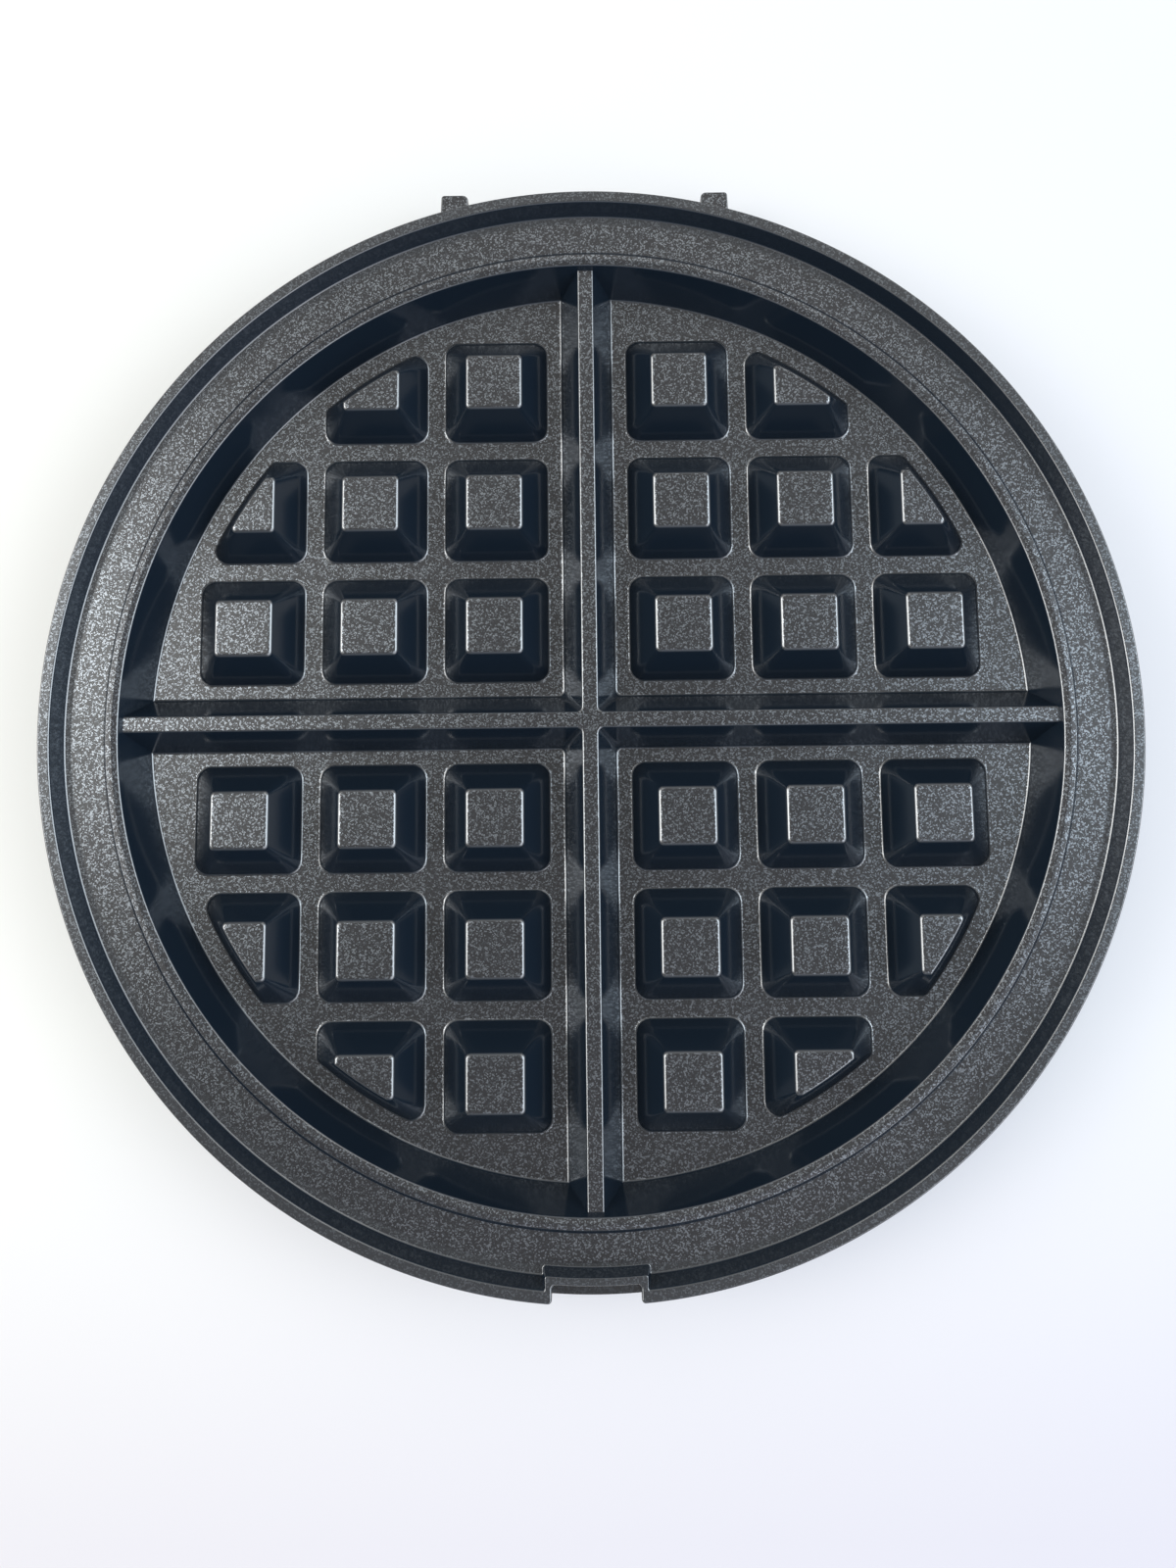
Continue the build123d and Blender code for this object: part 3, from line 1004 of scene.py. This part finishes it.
def make_table_top():
    """The white surface under the plate. The camera sees its shadows washed out, as a photograph
    that is exposed for the dark plate shows them, and a little darker in front."""
    material, tree = fresh_material("white_surface")
    skin = node(
        tree, "ShaderNodeBsdfPrincipled",
        {"Base Color": surface_white, "Roughness": surface_roughness},
    )
    place = node(tree, "ShaderNodeTexCoord").outputs["Object"]
    spot = node(tree, "ShaderNodeSeparateXYZ", {"Vector": place}).outputs
    rearward = ramp(tree, spot["Y"], white_front * MM, white_rear * MM)
    rightward = ramp(tree, spot["X"], -white_side * MM, white_side * MM)
    white = blend(tree, rearward, front_white, rear_white)
    painted_light_tint = blend(tree, rightward, painted_light_tint_left, painted_light_tint_right)
    painted_light_glow_colour = blend(tree, 1.0, white, painted_light_tint, blend_type="MULTIPLY")
    # Painted light: a glow that only the camera sees, dimmer and bluer in front and bluer on the right
    glow = node(tree, "ShaderNodeEmission", {"Color": painted_light_glow_colour})
    seen = node(tree, "ShaderNodeLightPath").outputs["Is Camera Ray"]
    amount = maths(tree, "MULTIPLY", seen, white_share)
    mixed = node(
        tree, "ShaderNodeMixShader",
        {0: amount, 1: skin.outputs["BSDF"], 2: glow.outputs["Emission"]},
    )
    node(tree, "ShaderNodeOutputMaterial", {"Surface": mixed.outputs["Shader"]})
    return material


def make_stage():
    half = surface_half * MM
    mesh = bpy.data.meshes.new("table_top")
    corners = [(-half, -half, 0), (half, -half, 0), (half, half, 0), (-half, half, 0)]
    mesh.from_pydata(corners, [], [(0, 1, 2, 3)])
    mesh.materials.append(make_table_top())
    top = bpy.data.objects.new("table_top", mesh)
    bpy.context.scene.collection.objects.link(top)


# Light: a soft surround. Each lobe has a bearing from +X towards the rear and a height above
# the horizon, in degrees, then a colour with its strength, and a sharpness.
backdrop_white = (0.95, 0.95, 0.97, 1)
sky_base = (0.02, 0.02, 0.02)
left_on_level_faces = (163, 70.6, (12.4, 12.6, 12.4), 360.0)
left_low = (176, 40, (6.4, 6.4, 6.3), 20.0)
right_on_level_faces = (10, 71.2, (3.7, 4.15, 4.5), 260.0)
right_low = (6, 40, (4.3, 4.8, 5.2), 20.0)
rear_wide = (85, 50, (1.27, 1.27, 1.25), 7.0)
front_high = (290, 60, (0.76, 0.76, 0.79), 12.0)
front_right_low = (320, 32, (1.9, 2.0, 2.2), 14.0)
front_low = (270, 30, (0.5, 0.56, 0.66), 14.0)
sky_lobes = (
    left_on_level_faces, left_low, right_on_level_faces, right_low,
    rear_wide, front_high, front_right_low, front_low,
)


def make_sky():
    world = bpy.data.worlds.new("surround")
    bpy.context.scene.world = world
    world.use_nodes = True
    tree = world.node_tree
    tree.nodes.clear()
    direction = node(tree, "ShaderNodeTexCoord").outputs["Generated"]
    total = sky_base
    for bearing, height, colour, sharpness in sky_lobes:
        turn, rise = radians(bearing), radians(height)
        toward = (cos(turn) * cos(rise), sin(turn) * cos(rise), sin(rise))
        nearness = node(
            tree, "ShaderNodeVectorMath", {0: direction, 1: toward}, operation="DOT_PRODUCT"
        ).outputs["Value"]
        lobe = maths(tree, "POWER", maths(tree, "MAXIMUM", nearness, 0.0), sharpness)
        glow = node(
            tree, "ShaderNodeVectorMath", {0: colour, "Scale": lobe}, operation="SCALE"
        ).outputs["Vector"]
        total = node(
            tree, "ShaderNodeVectorMath", {0: total, 1: glow}, operation="ADD"
        ).outputs["Vector"]
    sky = node(tree, "ShaderNodeBackground", {"Color": total})
    backdrop = node(tree, "ShaderNodeBackground", {"Color": backdrop_white})
    seen = node(tree, "ShaderNodeLightPath").outputs["Is Camera Ray"]
    mixed = node(
        tree, "ShaderNodeMixShader",
        {0: seen, 1: sky.outputs["Background"], 2: backdrop.outputs["Background"]},
    )
    node(tree, "ShaderNodeOutputWorld", {"Surface": mixed.outputs["Shader"]})


# Camera, fitted to the photograph of 1200 x 1600 pixels. Its angles are in radians, and its focal
# length, height and centre row in the photograph's pixels.
camera_place = Vector((1.238, -17.307, 322.99))
camera_pitch = -0.1636
camera_yaw = -0.0041
camera_roll = 0.0116
camera_focal = 1651.9
photo_height = 1600
photo_centre_row = 555
sensor_size = 36.0
nearest_seen = 10


def make_camera():
    data = bpy.data.cameras.new("camera")
    data.sensor_width = sensor_size
    data.lens = camera_focal / photo_height * sensor_size
    data.shift_y = (photo_centre_row - photo_height / 2) / photo_height
    data.clip_start = nearest_seen * MM
    camera = bpy.data.objects.new("camera", data)
    turn = (
        Matrix.Rotation(camera_roll, 3, "Z")
        @ Matrix.Rotation(camera_pitch, 3, "X")
        @ Matrix.Rotation(camera_yaw, 3, "Y")
    )
    camera.matrix_world = Matrix.Translation(camera_place * MM) @ turn.transposed().to_4x4()
    bpy.context.scene.collection.objects.link(camera)
    bpy.context.scene.camera = camera


def main():
    make_camera()
    make_stage()
    make_sky()
    bpy.context.scene.view_settings.view_transform = "Standard"

    coating = make_coating("flaked_coating")
    # The latch ledge gets fewer flakes so that it reads darker: painted shade in its recess
    ledge_painted_shade_coating = make_coating("ledge_painted_shade_coating", share=ledge_painted_shade_flake_share)
    rim_coating = make_coating("rim_coating", rim_flake_least, rim_flake_share)
    # The floors between the pegs get fewer flakes so that they read darker: painted shade
    floor_painted_shade_coating = make_coating("floor_painted_shade_coating", share=floor_painted_shade_flake_share)
    make_rim(rim_coating)
    make_gutter(coating)
    make_ridge(coating)
    make_cavity_wall(coating)
    make_skirt(coating)
    make_hub(coating)
    for number, name in enumerate(("rear", "left", "front", "right")):
        make_rib(name, number * pi / 2, coating)
    # The floors take the coating with painted shade
    for quadrant in QUADRANTS:
        make_floor(quadrant, floor_painted_shade_coating)
        make_pegs(quadrant, coating)
    make_lug("left", -1, coating)
    make_lug("right", 1, coating)
    # The latch ledge takes the coating with painted shade
    for name, finish in (("latch_ledge", ledge_painted_shade_coating), ("underside_gussets", coating)):
        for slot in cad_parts[name].material_slots:
            slot.material = finish


main()
